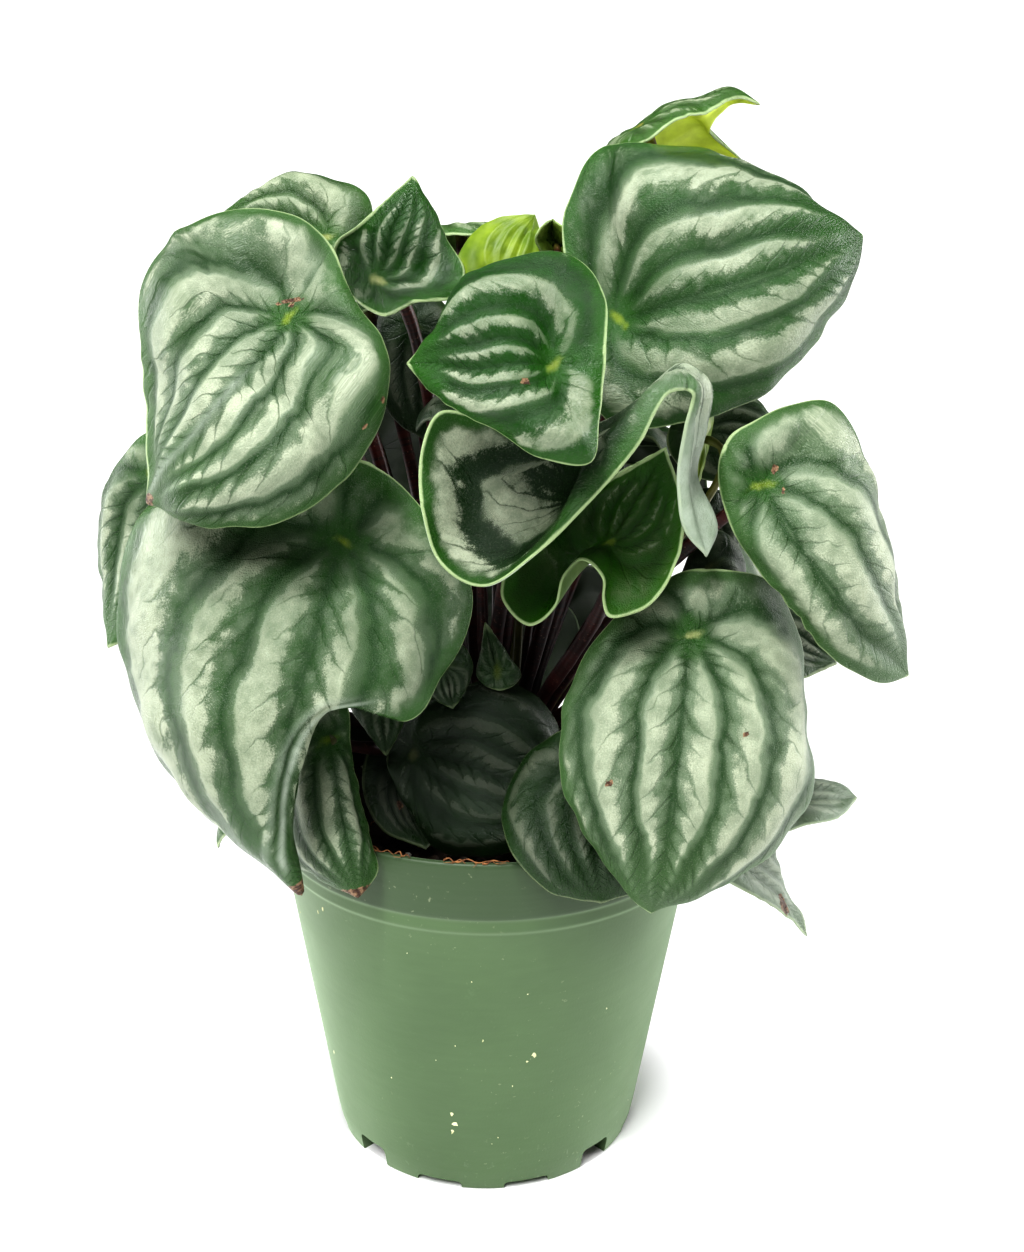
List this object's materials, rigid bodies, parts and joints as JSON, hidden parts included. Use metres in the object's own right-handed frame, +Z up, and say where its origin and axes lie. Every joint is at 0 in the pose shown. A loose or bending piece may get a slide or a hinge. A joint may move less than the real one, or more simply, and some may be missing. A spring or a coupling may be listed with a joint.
{
  "type": "potted peperomia",
  "caption": "Potted peperomia with round, striped, pointed leaves on slender red stalks, growing from soil in a tapered plastic nursery pot.",
  "frame": {"origin": "centre of the flat pad in the middle of the pot's underside", "axes": "+Z up along the pot's axis; -Y toward the side shown in the picture, +X to its right"},
  "size_m": [0.1822, 0.1737, 0.2591],
  "materials": {
    "pot_plastic": "matte",
    "soil": "rough",
    "stalk": "satin",
    "leaf": "satin",
    "young_leaf": "satin"
  },
  "bodies": {
    "root": {"pot": "pot_plastic", "soil": "soil", "crown": "stalk", "leaf_arched_over": "leaf", "leaf_back_folded": "leaf", "leaf_back_high": "leaf", "leaf_back_left_high": "leaf", "leaf_back_left_middle": "leaf", "leaf_back_low": "leaf", "leaf_back_middle": "leaf", "leaf_back_right_high": "leaf", "leaf_back_right_low": "leaf", "leaf_centre_front": "leaf", "leaf_front_rim": "leaf", "leaf_glossy_scroll": "leaf", "leaf_inner_back": "leaf", "leaf_inner_front": "leaf", "leaf_inner_left": "leaf", "leaf_inner_point": "leaf", "leaf_inner_right": "leaf", "leaf_inner_shade": "leaf", "leaf_inner_side": "leaf", "leaf_inner_young": "young_leaf", "leaf_left_apron": "leaf", "leaf_left_back": "leaf", "leaf_left_behind": "leaf", "leaf_left_low": "leaf", "leaf_left_middle": "leaf", "leaf_left_rim": "leaf", "leaf_left_shoulder": "leaf", "leaf_left_side": "leaf", "leaf_lime_rolled": "young_leaf", "leaf_lime_young": "young_leaf", "leaf_low_centre": "leaf", "leaf_low_left": "leaf", "leaf_right_apron": "leaf", "leaf_right_behind": "leaf", "leaf_right_drooping": "leaf", "leaf_right_inner": "leaf", "leaf_right_low": "leaf", "leaf_right_middle": "leaf", "leaf_right_rim": "leaf", "leaf_right_shade": "leaf", "leaf_right_shoulder": "leaf", "leaf_right_tucked": "leaf", "leaf_small_cupped": "leaf", "leaf_small_point": "leaf", "leaf_small_round": "leaf", "leaf_top_hooked": "leaf", "leaf_upright_point": "leaf"}
  },
  "joints": []
}
